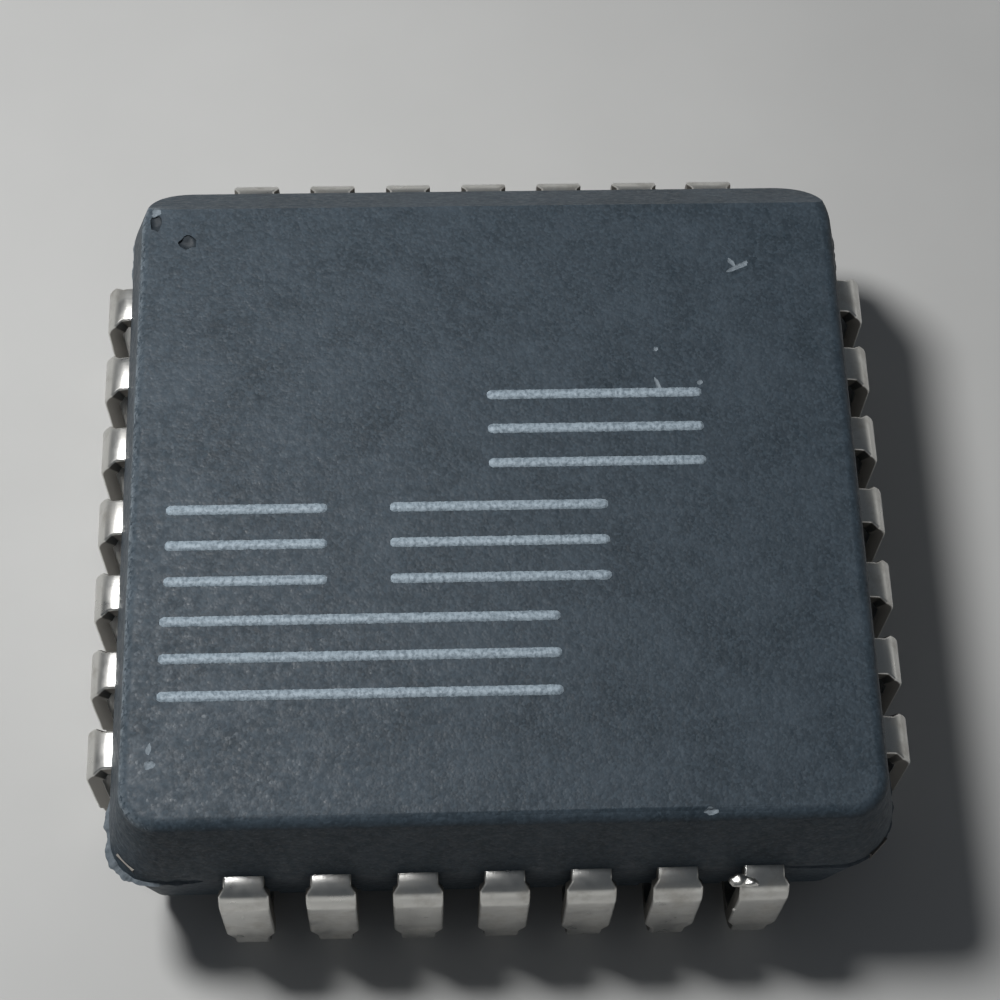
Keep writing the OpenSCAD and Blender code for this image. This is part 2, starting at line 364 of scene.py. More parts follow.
# %% [markdown]
# ## The moulded body
# Two halves of a mould meet at the lead frame. Each half leans inwards so that the block lets go, the
# upright corners are round, and the edges of the top and the underside are rounded. The shape is one
# outline repeated at several heights, pulled in a little more at each, so it is lofted: a ring of
# points for each height and a strip of faces between each two rings. A cube with bevels would round
# every edge alike, which this block doesn't: the back corners grow rounder towards the bevel, and at the
# front left corner the lower half stands a little proud, which leaves a narrow ledge.

# %% Work out the heights and the outlines
corner_radius = 0.9 * mm
back_corner_radius = 1.15 * mm
proud_corner = 2
proud_radius = 0.62 * mm
upper_lean = math.radians(12.5)
lower_lean = math.radians(10)
top_edge_radius = 0.2 * mm
bottom_edge_radius = 0.1 * mm
corner_steps = 16


def half_of_mould(start, end, lean, edge_radius, edge_steps):
    """Heights of one half of the block, each with how far its outline is pulled in."""
    way = 1 if end > start else -1
    centre_rise = abs(end - start) - edge_radius
    centre_in = (centre_rise * math.sin(lean) + edge_radius) / math.cos(lean)
    levels = [(start, 0.0)]
    for step in range(edge_steps + 1):
        turn = lean + (math.pi / 2 - lean) * step / edge_steps
        rise = centre_rise + edge_radius * math.sin(turn)
        levels.append((start + way * rise, centre_in - edge_radius * math.cos(turn)))
    return levels


def body_outline(height, pulled_in):
    """A level outline of the block: a square with round corners, pulled in on all sides."""
    climb = max((height - sheet_top) / (top - sheet_top), 0)
    points = []
    for corner, (side_x, side_y) in enumerate(((1, 1), (-1, 1), (-1, -1), (1, -1))):
        radius = corner_radius - pulled_in
        if side_y > 0 and climb > 0:
            radius = corner_radius + climb * (back_corner_radius - corner_radius)
        if corner == proud_corner and height < sheet_top:
            radius = proud_radius - pulled_in
        centre = half - pulled_in - radius
        for step in range(corner_steps + 1):
            turn = math.pi / 2 * (corner + step / corner_steps)
            points.append((
                side_x * centre + radius * math.cos(turn),
                side_y * centre + radius * math.sin(turn),
            ))
    return points


lower_levels = half_of_mould(sheet_bottom, underside, lower_lean, bottom_edge_radius, 3)
upper_levels = half_of_mould(sheet_top, top, upper_lean, top_edge_radius, 8)
body_levels = lower_levels[::-1] + upper_levels
print(len(body_levels), "levels from", round(underside / mm, 2), "to", round(top / mm, 2), "mm")

# %% Loft the block and cut its bevel
bevel_setback = 0.78 * mm
bevel_slope = math.radians(49)
bevel_edge = half - (top - sheet_top) * math.tan(upper_lean) - bevel_setback

block = bmesh.new()
rings = [[block.verts.new((x, y, z)) for x, y in body_outline(z, pulled)] for z, pulled in body_levels]
for low_ring, high_ring in zip(rings, rings[1:]):
    for i in range(len(low_ring)):
        j = (i + 1) % len(low_ring)
        block.faces.new((low_ring[i], low_ring[j], high_ring[j], high_ring[i]))
block.faces.new(rings[0][::-1])
block.faces.new(rings[-1])
everything = block.verts[:] + block.edges[:] + block.faces[:]
bmesh.ops.bisect_plane(
    block, geom=everything, dist=1e-8, clear_outer=True,
    plane_co=(0, bevel_edge, top), plane_no=(0, math.sin(bevel_slope), math.cos(bevel_slope)))
open_edges = [edge for edge in block.edges if edge.is_boundary]
bmesh.ops.contextual_create(block, geom=open_edges)
bmesh.ops.recalc_face_normals(block, faces=block.faces[:])
body = new_object("moulded_body_skin", block, [compound])
print("block:", len(body.data.polygons), "faces, bevel starts at y", round(bevel_edge / mm, 3), "mm")

# %% [markdown]
# ## Pockets for the rolled feet
# Each foot curls up into a small pocket in the underside. There are 28 pockets on one rule, seven
# along a side and four sides round, so a geometry tree sets out copies of one cutting shape. The block
# then loses all of them in one Boolean, together with the round mark that the ejector pin leaves in
# the middle of the underside.

# %% Set out the pockets with a tree
pocket_width = 0.79 * mm
pocket_in = 4.46 * mm
pocket_top = underside + 0.4 * mm
pocket_lean = 0.3


def copy_round(tree, given, one_side):
    """Copies what one side holds round the body in quarter turns, and gives it as real faces."""
    centres = add_node(tree, "GeometryNodeMeshLine", {"Count": given.outputs["Sides"], "Offset": (0, 0, 0)})
    number = add_node(tree, "GeometryNodeInputIndex").outputs[0]
    quarter_turns = add_node(tree, "ShaderNodeMath", {0: number, 1: math.pi / 2}, operation="MULTIPLY")
    turned = add_node(tree, "ShaderNodeCombineXYZ", {"Z": quarter_turns.outputs[0]})
    round_body = add_node(tree, "GeometryNodeInstanceOnPoints", {
        "Points": centres.outputs[0], "Instance": one_side, "Rotation": turned.outputs[0]})
    return add_node(tree, "GeometryNodeRealizeInstances", {"Geometry": round_body.outputs[0]}).outputs[0]


tree, given, result = start_tree("ring_of_pockets", (
    ("Per side", "NodeSocketInt"), ("Pitch", "NodeSocketFloat"), ("First", "NodeSocketFloat"),
    ("Sides", "NodeSocketInt"), ("Finish", "NodeSocketMaterial")))
pitch_step = add_node(tree, "ShaderNodeCombineXYZ", {"X": given.outputs["Pitch"]})
row_start = add_node(tree, "ShaderNodeCombineXYZ", {"X": given.outputs["First"]})
row = add_node(tree, "GeometryNodeMeshLine", {
    "Count": given.outputs["Per side"], "Start Location": row_start.outputs[0],
    "Offset": pitch_step.outputs[0]})
in_row = add_node(tree, "GeometryNodeInstanceOnPoints", {
    "Points": row.outputs[0], "Instance": given.outputs["Geometry"]})
one_side = add_node(tree, "GeometryNodeRealizeInstances", {"Geometry": in_row.outputs[0]})
finished = add_node(tree, "GeometryNodeSetMaterial", {
    "Geometry": copy_round(tree, given, one_side.outputs[0]), "Material": given.outputs["Finish"]})
tree.links.new(finished.outputs[0], result.inputs["Geometry"])
pocket_tree = tree
print(pocket_tree.name, "with", len(tree.nodes), "nodes")

# %% Cut the pockets and the ejector mark
past = 0.5 * mm
pocket_side = (
    (pocket_in, underside - past), (pocket_in, underside),
    (pocket_in + pocket_lean * (pocket_top - underside), pocket_top),
    (half + past, pocket_top), (half + past, underside - past))
prism = bmesh.new()
ends = [[prism.verts.new((x, y, z)) for y, z in pocket_side] for x in (-pocket_width / 2, pocket_width / 2)]
prism.faces.new(ends[0])
prism.faces.new(ends[1][::-1])
for i in range(len(pocket_side)):
    j = (i + 1) % len(pocket_side)
    prism.faces.new((ends[0][i], ends[1][i], ends[1][j], ends[0][j]))
bmesh.ops.recalc_face_normals(prism, faces=prism.faces[:])
pockets = new_object("pocket_cutter", prism, [compound])
run_tree(pockets, pocket_tree, {
    "Per side": leads_per_side, "Pitch": pitch, "First": -pitch * (leads_per_side - 1) / 2,
    "Sides": 4, "Finish": compound})

ejector_radius = 1.5 * mm
ejector_depth = 0.06 * mm
pin = bmesh.new()
bmesh.ops.create_cone(
    pin, cap_ends=True, segments=64, radius1=ejector_radius, radius2=ejector_radius, depth=past,
    matrix=Matrix.Translation((0, 0, underside + ejector_depth - past / 2)))
ejector = new_object("ejector_cutter", pin, [compound])
for cutter in (pockets, ejector):
    cut = body.modifiers.new("cut", "BOOLEAN")
    cut.object = cutter
    cut.solver = "EXACT"
keep_result(body)
for cutter in (pockets, ejector):
    bpy.data.objects.remove(cutter)
print("body after the pockets:", len(body.data.polygons), "faces")

# %% [markdown]
# ## Soft edges
# A steel cavity is never sharp: the rims of the pockets and of the bevel have a radius of a few
# hundredths of a millimetre. The Bevel modifier rounds only edges that turn by more than 25 degrees,
# so the rounded corners, which are made of small turns, stay as they were lofted.

# %% Round the sharp edges
soft_edge = 0.03 * mm
rounding = body.modifiers.new("rounding", "BEVEL")
rounding.width = soft_edge
rounding.segments = 3
rounding.limit_method = "ANGLE"
rounding.angle_limit = math.radians(25)
rounding.miter_outer = "MITER_ARC"
keep_result(body)
print("body with soft edges:", len(body.data.polygons), "faces")

# %% [markdown]
# ## Wear of the body
# Handling has left its marks: two open voids and a chip at one corner, a few pale scrapes on the top and
# a nick in the front edge. A painted spot would look flat from the side, so each mark is a real hollow.
# A rounded lump, made uneven with noise, is set on the surface that a ray from above finds, and a
# Boolean takes it out of the body. The walls of the hollow take the finish of the lump.

# %% List the marks and make their cutters
body_copy = bmesh.new()
body_copy.from_mesh(body.data)
body_surface = BVHTree.FromBMesh(body_copy)
body_copy.free()
damage_finishes = [compound, scraped, shaded_void_lining]
mark_swell = 0.56
mark_unevenness = 0.35
scrape_lift = 0.8
marks_in_mm = (
    # finish, x, y, length, width, depth, turn in degrees
    (shaded_void_lining, -4.74, 4.08, 0.27, 0.21, 0.07, 10),
    (shaded_void_lining, -5.26, 4.43, 0.17, 0.26, 0.065, 0),
    (scraped, -5.27, 4.64, 0.18, 0.14, 0.04, 40),
    (scraped, 3.93, 3.51, 0.40, 0.09, 0.020, 24),
    (scraped, 3.83, 3.59, 0.18, 0.07, 0.015, -55),
    (scraped, 2.55, 1.39, 0.32, 0.07, 0.015, -70),
    (scraped, 3.19, 1.46, 0.09, 0.08, 0.015, 20),
    (scraped, 2.54, 2.05, 0.08, 0.07, 0.012, 70),
    (scraped, -5.05, -4.55, 0.16, 0.15, 0.022, 30),
    (scraped, -5.07, -4.31, 0.18, 0.07, 0.012, 84),
    (scraped, 2.91, -5.40, 0.20, 0.12, 0.035, 5),
)


def add_lump(built, centre, size, turn, seed, uneven):
    """Adds an uneven rounded lump to a bmesh, and gives its points."""
    points = bmesh.ops.create_icosphere(built, subdivisions=3, radius=1.0)["verts"]
    place = Matrix.Translation(centre) @ Matrix.Rotation(turn, 4, "Z") @ Matrix.Diagonal((*size, 1.0))
    for point in points:
        swell = 1 + uneven * noise.noise(point.co * 1.7 + Vector((seed * 7.3, seed * 3.1, 0)))
        point.co = place @ (point.co * swell)
    return points


lumps = bmesh.new()
for seed, (finish, x, y, length, width, depth, turn) in enumerate(marks_in_mm):
    ground = body_surface.ray_cast(Vector((x * mm, y * mm, 2 * top)), Vector((0, 0, -1)))[0]
    lift = 0 if finish is shaded_void_lining else scrape_lift * depth
    size = Vector((mark_swell * length, mark_swell * width, depth + lift)) * mm
    middle = ground + Vector((0, 0, lift * mm))
    points = add_lump(lumps, middle, size, math.radians(turn), seed, mark_unevenness)
    for face in {face for point in points for face in point.link_faces}:
        face.material_index = damage_finishes.index(finish)
wear = new_object("wear_cutter", lumps, damage_finishes)
print(len(marks_in_mm), "marks, cutter of", len(wear.data.polygons), "faces")

# %% Cut the marks and set the shading
cut = body.modifiers.new("wear", "BOOLEAN")
cut.object = wear
cut.solver = "EXACT"
cut.use_self = True
cut.material_mode = "TRANSFER"
keep_result(body)
bpy.data.objects.remove(wear)
body.data.set_sharp_from_angle(angle=math.radians(40))
level_faces = body.modifiers.new("level_faces", "WEIGHTED_NORMAL")
level_faces.keep_sharp = True
keep_result(body)
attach(body, "root")
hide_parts("moulded_body")
print("body:", len(body.data.polygons), "faces,", len(body.data.materials), "finishes")

# %% [markdown]
# ## The leads
# A lead starts as a flat strip, stamped with its six neighbours, and a press then bends it: down over
# a shoulder, straight along the body's side, and round under it in a rolled foot. Bent tubes along a
# curve would lose the strip's own width steps and edges, so this follows the press. Python draws the
# flat strips of one side, and a geometry tree bends them and sets out the four sides.

# %% Draw the flat strips of one side
shoulder_radius = 0.4 * mm
foot_radius = 0.85 * mm
foot_sweep = math.radians(155)
finger_root = half - 0.75 * mm
outer_tip = finger_tip - 0.75 * mm
tip_shift = outer_tip / 3 - pitch
tip_width = 0.42 * mm
root_width = 0.6 * mm
foot_width = 0.53 * mm
rolled_edge = 0.04 * mm
sheared_edge = 0.015 * mm

bend_start = lead_reach - shoulder_radius
shoulder_line = shoulder_radius - sheet / 2
foot_line = foot_radius - sheet / 2
quarter_bend = shoulder_line * math.pi / 2
limb = sheet_top - shoulder_radius - foot_radius
limb_start = bend_start + quarter_bend
foot_start = limb_start + limb
strip_end = foot_start + foot_line * foot_sweep
width_table = (
    # place along the strip, width there
    (finger_tip, tip_width), (finger_root, root_width),
    (bend_start + 0.107 * mm, root_width), (bend_start + 0.199 * mm, shoulder_width),
    (limb_start + 1.30 * mm, shoulder_width), (limb_start + 1.55 * mm, foot_width),
    (strip_end, foot_width))
stations = np.unique(np.concatenate([
    [place for place, width in width_table],
    [finger_tip + sheared_edge, half - 0.2 * mm, half, strip_end - sheared_edge],
    np.linspace(bend_start, limb_start, 17),
    np.linspace(limb_start, foot_start, 9),
    np.linspace(foot_start, strip_end - sheared_edge, 29),
]).round(9))
print(len(stations), "stations along", round((strip_end - finger_tip) / mm, 2), "mm of strip")


# %% Build the strips
def strip_section(width, trim):
    """The strip's cross-section: outer edges rolled over by the press, inner ones nearly sharp."""
    points = []
    for side_x, side_z, radius, start in ((1, 1, rolled_edge, 0), (-1, 1, rolled_edge, 1),
                                          (-1, -1, sheared_edge, 2), (1, -1, sheared_edge, 3)):
        for step in range(4):
            turn = math.pi / 2 * (start + step / 3)
            points.append((
                side_x * (width / 2 - trim - radius) + radius * math.cos(turn),
                side_z * (sheet / 2 - trim - radius) + radius * math.sin(turn)))
    return points


strips = bmesh.new()
sheared_layer = strips.verts.layers.float.new("sheared")
for step in range(leads_per_side):
    row_place = step - (leads_per_side - 1) / 2
    rings = []
    for along in stations:
        width = np.interp(along, *zip(*width_table))
        fan = 1 - min(max((along - finger_tip) / (finger_root - finger_tip), 0), 1)
        trim = 0.6 * sheared_edge if along in (stations[0], stations[-1]) else 0
        middle = row_place * (pitch + fan * tip_shift)
        section = strip_section(width, trim)
        rings.append([strips.verts.new((middle + x, along, z)) for x, z in section])
        for vert, (x, z) in zip(rings[-1], section):
            vert[sheared_layer] = float(abs(x) > width / 2 - trim - 1e-9)
    for near_ring, far_ring in zip(rings, rings[1:]):
        for i in range(len(near_ring)):
            j = (i + 1) % len(near_ring)
            strips.faces.new((near_ring[i], far_ring[i], far_ring[j], near_ring[j]))
    strips.faces.new(rings[0])
    strips.faces.new(rings[-1][::-1])
bmesh.ops.recalc_face_normals(strips, faces=strips.faces[:])
leads = new_object("tinned_j_leads", strips, [tin])
print("flat strips:", len(leads.data.polygons), "faces")

# %% [markdown]
# ## The forming press as a tree
# A point of the strip is told by how far along it lies and how far it is from the strip's middle
# plane. Up to the start of the bend it stays. Then its share of the way becomes an angle over the
# shoulder, a straight drop down the limb and an angle round the foot. The table below is that sum, one
# node in each row. Before anything is bent, each point's flat place is stored for the rolling marks.

# %% Build the forming tree
tree, given, result = start_tree("form_j_leads", (
    ("Bend start", "NodeSocketFloat"), ("Shoulder line", "NodeSocketFloat"), ("Limb", "NodeSocketFloat"),
    ("Foot line", "NodeSocketFloat"), ("Strip height", "NodeSocketFloat"), ("Sides", "NodeSocketInt"),
    ("Skew", "NodeSocketFloat"), ("Seed", "NodeSocketInt"), ("Finish", "NodeSocketMaterial")))
position = add_node(tree, "GeometryNodeInputPosition").outputs[0]
stored = add_node(tree, "GeometryNodeStoreNamedAttribute", {
    "Geometry": given.outputs["Geometry"], "Name": "flat_place", "Value": position},
    data_type="FLOAT_VECTOR", domain="POINT").outputs[0]
on_strip = add_node(tree, "ShaderNodeSeparateXYZ", {0: position})
term = {"across": on_strip.outputs["X"], "along": on_strip.outputs["Y"], "off plane": on_strip.outputs["Z"]}
term.update({label: given.outputs[label] for label in
             ("Bend start", "Shoulder line", "Limb", "Foot line", "Strip height")})
forming_sum = (
    ("past bend", "SUBTRACT", "along", "Bend start"),
    ("flat", "MINIMUM", "past bend", 0.0),
    ("quarter", "MULTIPLY", "Shoulder line", math.pi / 2),
    ("bent", "MAXIMUM", "past bend", 0.0),
    ("on shoulder", "MINIMUM", "bent", "quarter"),
    ("shoulder turn", "DIVIDE", "on shoulder", "Shoulder line"),
    ("past shoulder", "SUBTRACT", "past bend", "quarter"),
    ("below shoulder", "MAXIMUM", "past shoulder", 0.0),
    ("drop", "MINIMUM", "below shoulder", "Limb"),
    ("past limb", "SUBTRACT", "past shoulder", "Limb"),
    ("on foot", "MAXIMUM", "past limb", 0.0),
    ("foot turn", "DIVIDE", "on foot", "Foot line"),
    ("heading", "ADD", "shoulder turn", "foot turn"),
    ("shoulder sine", "SINE", "shoulder turn", 0.0),
    ("shoulder cosine", "COSINE", "shoulder turn", 0.0),
    ("foot sine", "SINE", "foot turn", 0.0),
    ("foot cosine", "COSINE", "foot turn", 0.0),
    ("shoulder out", "MULTIPLY", "shoulder sine", "Shoulder line"),
    ("shoulder rest", "SUBTRACT", 1.0, "shoulder cosine"),
    ("shoulder fall", "MULTIPLY", "shoulder rest", "Shoulder line"),
    ("foot rest", "SUBTRACT", 1.0, "foot cosine"),
    ("foot in", "MULTIPLY", "foot rest", "Foot line"),
    ("foot fall", "MULTIPLY", "foot sine", "Foot line"),
    ("heading sine", "SINE", "heading", 0.0),
    ("heading cosine", "COSINE", "heading", 0.0),
    ("off out", "MULTIPLY", "off plane", "heading sine"),
    ("off up", "MULTIPLY", "off plane", "heading cosine"),
    ("out 1", "ADD", "Bend start", "flat"),
    ("out 2", "ADD", "out 1", "shoulder out"),
    ("out 3", "SUBTRACT", "out 2", "foot in"),
    ("out", "ADD", "out 3", "off out"),
    ("up 1", "SUBTRACT", "Strip height", "shoulder fall"),
    ("up 2", "SUBTRACT", "up 1", "drop"),
    ("up 3", "SUBTRACT", "up 2", "foot fall"),
    ("up", "ADD", "up 3", "off up"),
    ("bent share", "DIVIDE", "below shoulder", "Limb"),
)
for name, operation, first, second in forming_sum:
    feeds = {0: term.get(first, first), 1: term.get(second, second)}
    term[name] = add_node(tree, "ShaderNodeMath", feeds, operation=operation).outputs[0]
bent_place = add_node(tree, "ShaderNodeCombineXYZ", {
    "X": term["across"], "Y": term["out"], "Z": term["up"]}).outputs[0]
kept_share = add_node(tree, "GeometryNodeStoreNamedAttribute", {
    "Geometry": stored, "Name": "bent_share", "Value": term["bent share"]},
    data_type="FLOAT", domain="POINT").outputs[0]
formed = add_node(tree, "GeometryNodeSetPosition", {
    "Geometry": kept_share, "Position": bent_place}).outputs[0]
print("forming sum of", len(forming_sum), "terms")

# %% [markdown]
# ## Four sides, and no two leads alike
# One side's formed leads are copied round the body in quarter turns, as the pockets were. No press is
# perfect, so each lead also leans by up to about a hundredth of a millimetre, more towards its foot. A
# random value for each island of the mesh, with a fixed seed, gives every lead its own lean.

# %% Set out the sides and run the tree
four_sides = copy_round(tree, given, formed)
island = add_node(tree, "GeometryNodeInputMeshIsland").outputs["Island Index"]
lean = add_node(tree, "FunctionNodeRandomValue", {
    "Min": (-1, -1, 0), "Max": (1, 1, 0), "ID": island, "Seed": given.outputs["Seed"]},
    data_type="FLOAT_VECTOR").outputs[0]
share = add_node(tree, "GeometryNodeInputNamedAttribute", {
    "Name": "bent_share"}, data_type="FLOAT").outputs[0]
skew = add_node(tree, "ShaderNodeMath", {0: share, 1: given.outputs["Skew"]}, operation="MULTIPLY").outputs[0]
lean_move = add_node(tree, "ShaderNodeVectorMath", {0: lean, "Scale": skew}, operation="SCALE").outputs[0]
leaned = add_node(tree, "GeometryNodeSetPosition", {"Geometry": four_sides, "Offset": lean_move})
cleared = add_node(tree, "GeometryNodeRemoveAttribute", {"Geometry": leaned.outputs[0], "Name": "bent_share"})
finished = add_node(tree, "GeometryNodeSetMaterial", {
    "Geometry": cleared.outputs[0], "Material": given.outputs["Finish"]})
tree.links.new(finished.outputs[0], result.inputs["Geometry"])
run_tree(leads, tree, {
    "Bend start": bend_start, "Shoulder line": shoulder_line, "Limb": limb, "Foot line": foot_line,
    "Strip height": sheet_top - sheet / 2, "Sides": 4, "Skew": 0.008 * mm, "Seed": 4, "Finish": tin})
leads.data.set_sharp_from_angle(angle=math.radians(50))
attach(leads, "root")
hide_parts(*(name for name in frame["nodes"] if name.startswith("lead_")))
print("leads:", len(leads.data.polygons), "faces, lowest at",
      round(min(v.co.z for v in leads.data.vertices) / mm, 4), "mm")

# %% [markdown]
# ## Flash at the parting line
# Where the two halves of the mould meet at a corner, a little resin creeps out and sets as a thin,
# ragged fin. It is heaviest at the front left corner. A fin follows a path, so a tree sweeps a small
# kite-shaped profile along the corner's outline, and a noise changes how far it reaches. Separate
# chips would look scattered, while real flash is one torn edge. It is nearly clear resin with little
# filler, squeezed between polished faces of steel, so it is paler than the body and glossy.

# %% Make the finish of the flash
flash_finish = two_tone_finish("thin_epoxy_flash", ("#3c454c", "#7f878d"), 0.08, 3.0, (0.1, 0.35))
print(flash_finish.name, "ready")

# %% Build the fin's tree
tree, given, result = start_tree("flash_fin", (
    ("Step", "NodeSocketFloat"), ("Least reach", "NodeSocketFloat"), ("Most reach", "NodeSocketFloat"),
    ("Heavy corner", "NodeSocketVector"), ("Fade", "NodeSocketFloat"), ("Tear", "NodeSocketFloat"),
    ("Wander", "NodeSocketFloat"), ("Seed", "NodeSocketFloat"), ("Finish", "NodeSocketMaterial")))
path = add_node(tree, "GeometryNodeMeshToCurve", {"Mesh": given.outputs["Geometry"]}).outputs[0]
even_path = add_node(tree, "GeometryNodeResampleCurve", {
    "Curve": path, "Length": given.outputs["Step"]}, mode="LENGTH").outputs[0]
upright = add_node(tree, "GeometryNodeSetCurveNormal", {"Curve": even_path}, mode="Z_UP").outputs[0]
position = add_node(tree, "GeometryNodeInputPosition").outputs[0]
tear = add_node(tree, "ShaderNodeTexNoise", {
    "Vector": position, "W": given.outputs["Seed"], "Scale": given.outputs["Tear"], "Detail": 3.0},
    noise_dimensions="4D").outputs["Fac"]
torn = add_node(tree, "ShaderNodeMapRange", {
    "Value": tear, "From Min": 0.28, "From Max": 0.62}).outputs["Result"]
away = add_node(tree, "ShaderNodeVectorMath", {
    0: position, 1: given.outputs["Heavy corner"]}, operation="DISTANCE").outputs["Value"]
weight = add_node(tree, "ShaderNodeMapRange", {
    "Value": away, "From Max": given.outputs["Fade"], "To Min": 1.0, "To Max": 0.3}).outputs["Result"]
along = add_node(tree, "GeometryNodeSplineParameter").outputs["Factor"]
hump = add_node(tree, "ShaderNodeMath", {0: along, 1: 0.5}, operation="PINGPONG").outputs[0]
taper = add_node(tree, "ShaderNodeMapRange", {"Value": hump, "From Max": 0.12}).outputs["Result"]
spread = add_node(tree, "ShaderNodeMath", {0: torn, 1: weight}, operation="MULTIPLY").outputs[0]
shaped = add_node(tree, "ShaderNodeMath", {0: spread, 1: taper}, operation="MULTIPLY").outputs[0]
reach = add_node(tree, "ShaderNodeMapRange", {
    "Value": shaped, "To Min": given.outputs["Least reach"],
    "To Max": given.outputs["Most reach"]}).outputs["Result"]
lift = add_node(tree, "ShaderNodeMath", {0: tear, 1: 0.5}, operation="SUBTRACT").outputs[0]
rise = add_node(tree, "ShaderNodeMath", {
    0: lift, 1: given.outputs["Wander"]}, operation="MULTIPLY").outputs[0]
shift = add_node(tree, "ShaderNodeCombineXYZ", {"Z": rise}).outputs[0]
moved = add_node(tree, "GeometryNodeSetPosition", {"Geometry": upright, "Offset": shift}).outputs[0]
kite = add_node(tree, "GeometryNodeCurvePrimitiveQuadrilateral", {
    "Point 1": (-0.5, 0, 0), "Point 2": (0.0, 0.32, 0), "Point 3": (1, 0.04, 0), "Point 4": (0.0, -0.32, 0)},
    mode="POINTS").outputs[0]
swept = add_node(tree, "GeometryNodeCurveToMesh", {
    "Curve": moved, "Profile Curve": kite, "Scale": reach, "Fill Caps": True}).outputs[0]
real = add_node(tree, "GeometryNodeRealizeInstances", {"Geometry": swept}).outputs[0]
finished = add_node(tree, "GeometryNodeSetMaterial", {"Geometry": real, "Material": given.outputs["Finish"]})
tree.links.new(finished.outputs[0], result.inputs["Geometry"])
fin_tree = tree
print(fin_tree.name, "with", len(tree.nodes), "nodes")

# %% Sweep the fins round the four corners
fin_end = 0.75 * mm
proud_fin_rise = 0.03 * mm
corner_lines = bmesh.new()
for corner, (side_x, side_y) in enumerate(((1, 1), (-1, 1), (-1, -1), (1, -1))):
    radius = proud_radius if corner == proud_corner else corner_radius
    height = sheet_bottom + (proud_fin_rise if corner == proud_corner else sheet / 2)
    centre = Vector((side_x, side_y, 0)) * (half - radius)
    turns = [math.pi / 2 * (corner + step / corner_steps) for step in range(corner_steps + 1)]
    arc = [centre + Vector((math.cos(turn), math.sin(turn), 0)) * radius for turn in turns]
    before = arc[0] - Vector((-math.sin(turns[0]), math.cos(turns[0]), 0)) * fin_end
    after = arc[-1] + Vector((-math.sin(turns[-1]), math.cos(turns[-1]), 0)) * fin_end
    line = [before, *arc, after]
    points = [corner_lines.verts.new((p.x, p.y, height)) for p in line]
    for first, second in zip(points, points[1:]):
        corner_lines.edges.new((first, second))
flash = new_object("parting_flash", corner_lines, [flash_finish])
heavy_place = (-half, fin_end - half, sheet_bottom)
run_tree(flash, fin_tree, {
    "Step": 0.03 * mm, "Least reach": 0.012 * mm, "Most reach": 0.13 * mm,
    "Heavy corner": heavy_place, "Fade": 2.0 * mm, "Tear": 1 / (0.22 * mm),
    "Wander": 0.12 * mm, "Seed": 3.7, "Finish": flash_finish})
flash.data.shade_flat()
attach(flash, "root")
print("flash:", len(flash.data.polygons), "faces")

# %% [markdown]
# ## Print on the top
# A chip carries a few lines of pale marking ink. Here the same places hold plain stripes, three to a
# field, which say nothing and keep the look of a printed part. A stripe follows a path, so a tree
# doubles each field's centre line, spaces the copies and sweeps a thin flat profile along them, which
# it narrows to a round end, as a stylus leaves it. A bump or a colour in the body's own finish could
# not be taken off for another scene.

# %% Make the marking ink
ink, tree, shader, place = start_finish("worn_marking_ink")
rubbed = add_node(tree, "ShaderNodeTexNoise", {
    "Vector": place, "Scale": 1 / (0.06 * mm), "Detail": 2.0, "Roughness": 0.6}).outputs["Fac"]
thin_share = add_node(tree, "ShaderNodeMapRange", {
    "Value": rubbed, "From Min": 0.42, "From Max": 0.64}).outputs["Result"]
ink_tone = add_node(tree, "ShaderNodeMix", {
    0: thin_share, 6: linear("#97a5af"), 7: linear("#717e88")}, data_type="RGBA").outputs[2]
ink_bump = add_node(tree, "ShaderNodeBump", {
    "Height": rubbed, "Strength": 0.6, "Distance": 0.012 * mm}).outputs["Normal"]
shader.inputs["Roughness"].default_value = 0.6
tree.links.new(ink_tone, shader.inputs["Base Color"])
tree.links.new(ink_bump, shader.inputs["Normal"])
print(ink.name, "ready")

# %% Build the stripe tree
tree, given, result = start_tree("print_stripes", (
    ("Stripes", "NodeSocketInt"), ("Spacing", "NodeSocketFloat"), ("Stroke", "NodeSocketFloat"),
    ("Ink depth", "NodeSocketFloat"), ("Step", "NodeSocketFloat"), ("Finish", "NodeSocketMaterial")))
path = add_node(tree, "GeometryNodeMeshToCurve", {"Mesh": given.outputs["Geometry"]}).outputs[0]
copies = add_node(tree, "GeometryNodeDuplicateElements", {
    "Geometry": path, "Amount": given.outputs["Stripes"]}, domain="SPLINE")
last_copy = add_node(tree, "ShaderNodeMath", {0: given.outputs["Stripes"], 1: 1.0}, operation="SUBTRACT")
middle_copy = add_node(tree, "ShaderNodeMath", {0: last_copy.outputs[0], 1: 0.5}, operation="MULTIPLY")
from_middle = add_node(tree, "ShaderNodeMath", {
    0: copies.outputs["Duplicate Index"], 1: middle_copy.outputs[0]}, operation="SUBTRACT")
sideways = add_node(tree, "ShaderNodeMath", {
    0: from_middle.outputs[0], 1: given.outputs["Spacing"]}, operation="MULTIPLY")
shift = add_node(tree, "ShaderNodeCombineXYZ", {"Y": sideways.outputs[0]})
spaced = add_node(tree, "GeometryNodeSetPosition", {
    "Geometry": copies.outputs["Geometry"], "Offset": shift.outputs[0]})
even_path = add_node(tree, "GeometryNodeResampleCurve", {
    "Curve": spaced.outputs[0], "Length": given.outputs["Step"]}, mode="LENGTH")
upright = add_node(tree, "GeometryNodeSetCurveNormal", {"Curve": even_path.outputs[0]}, mode="Z_UP")
position = add_node(tree, "GeometryNodeInputPosition").outputs[0]
edge_noise = add_node(tree, "ShaderNodeTexNoise", {
    "Vector": position, "Scale": 1 / (0.05 * mm), "Detail": 2.0})
uneven = add_node(tree, "ShaderNodeMapRange", {
    "Value": edge_noise.outputs["Fac"], "To Min": 0.8, "To Max": 1.15})
gone = add_node(tree, "GeometryNodeSplineParameter").outputs["Length"]
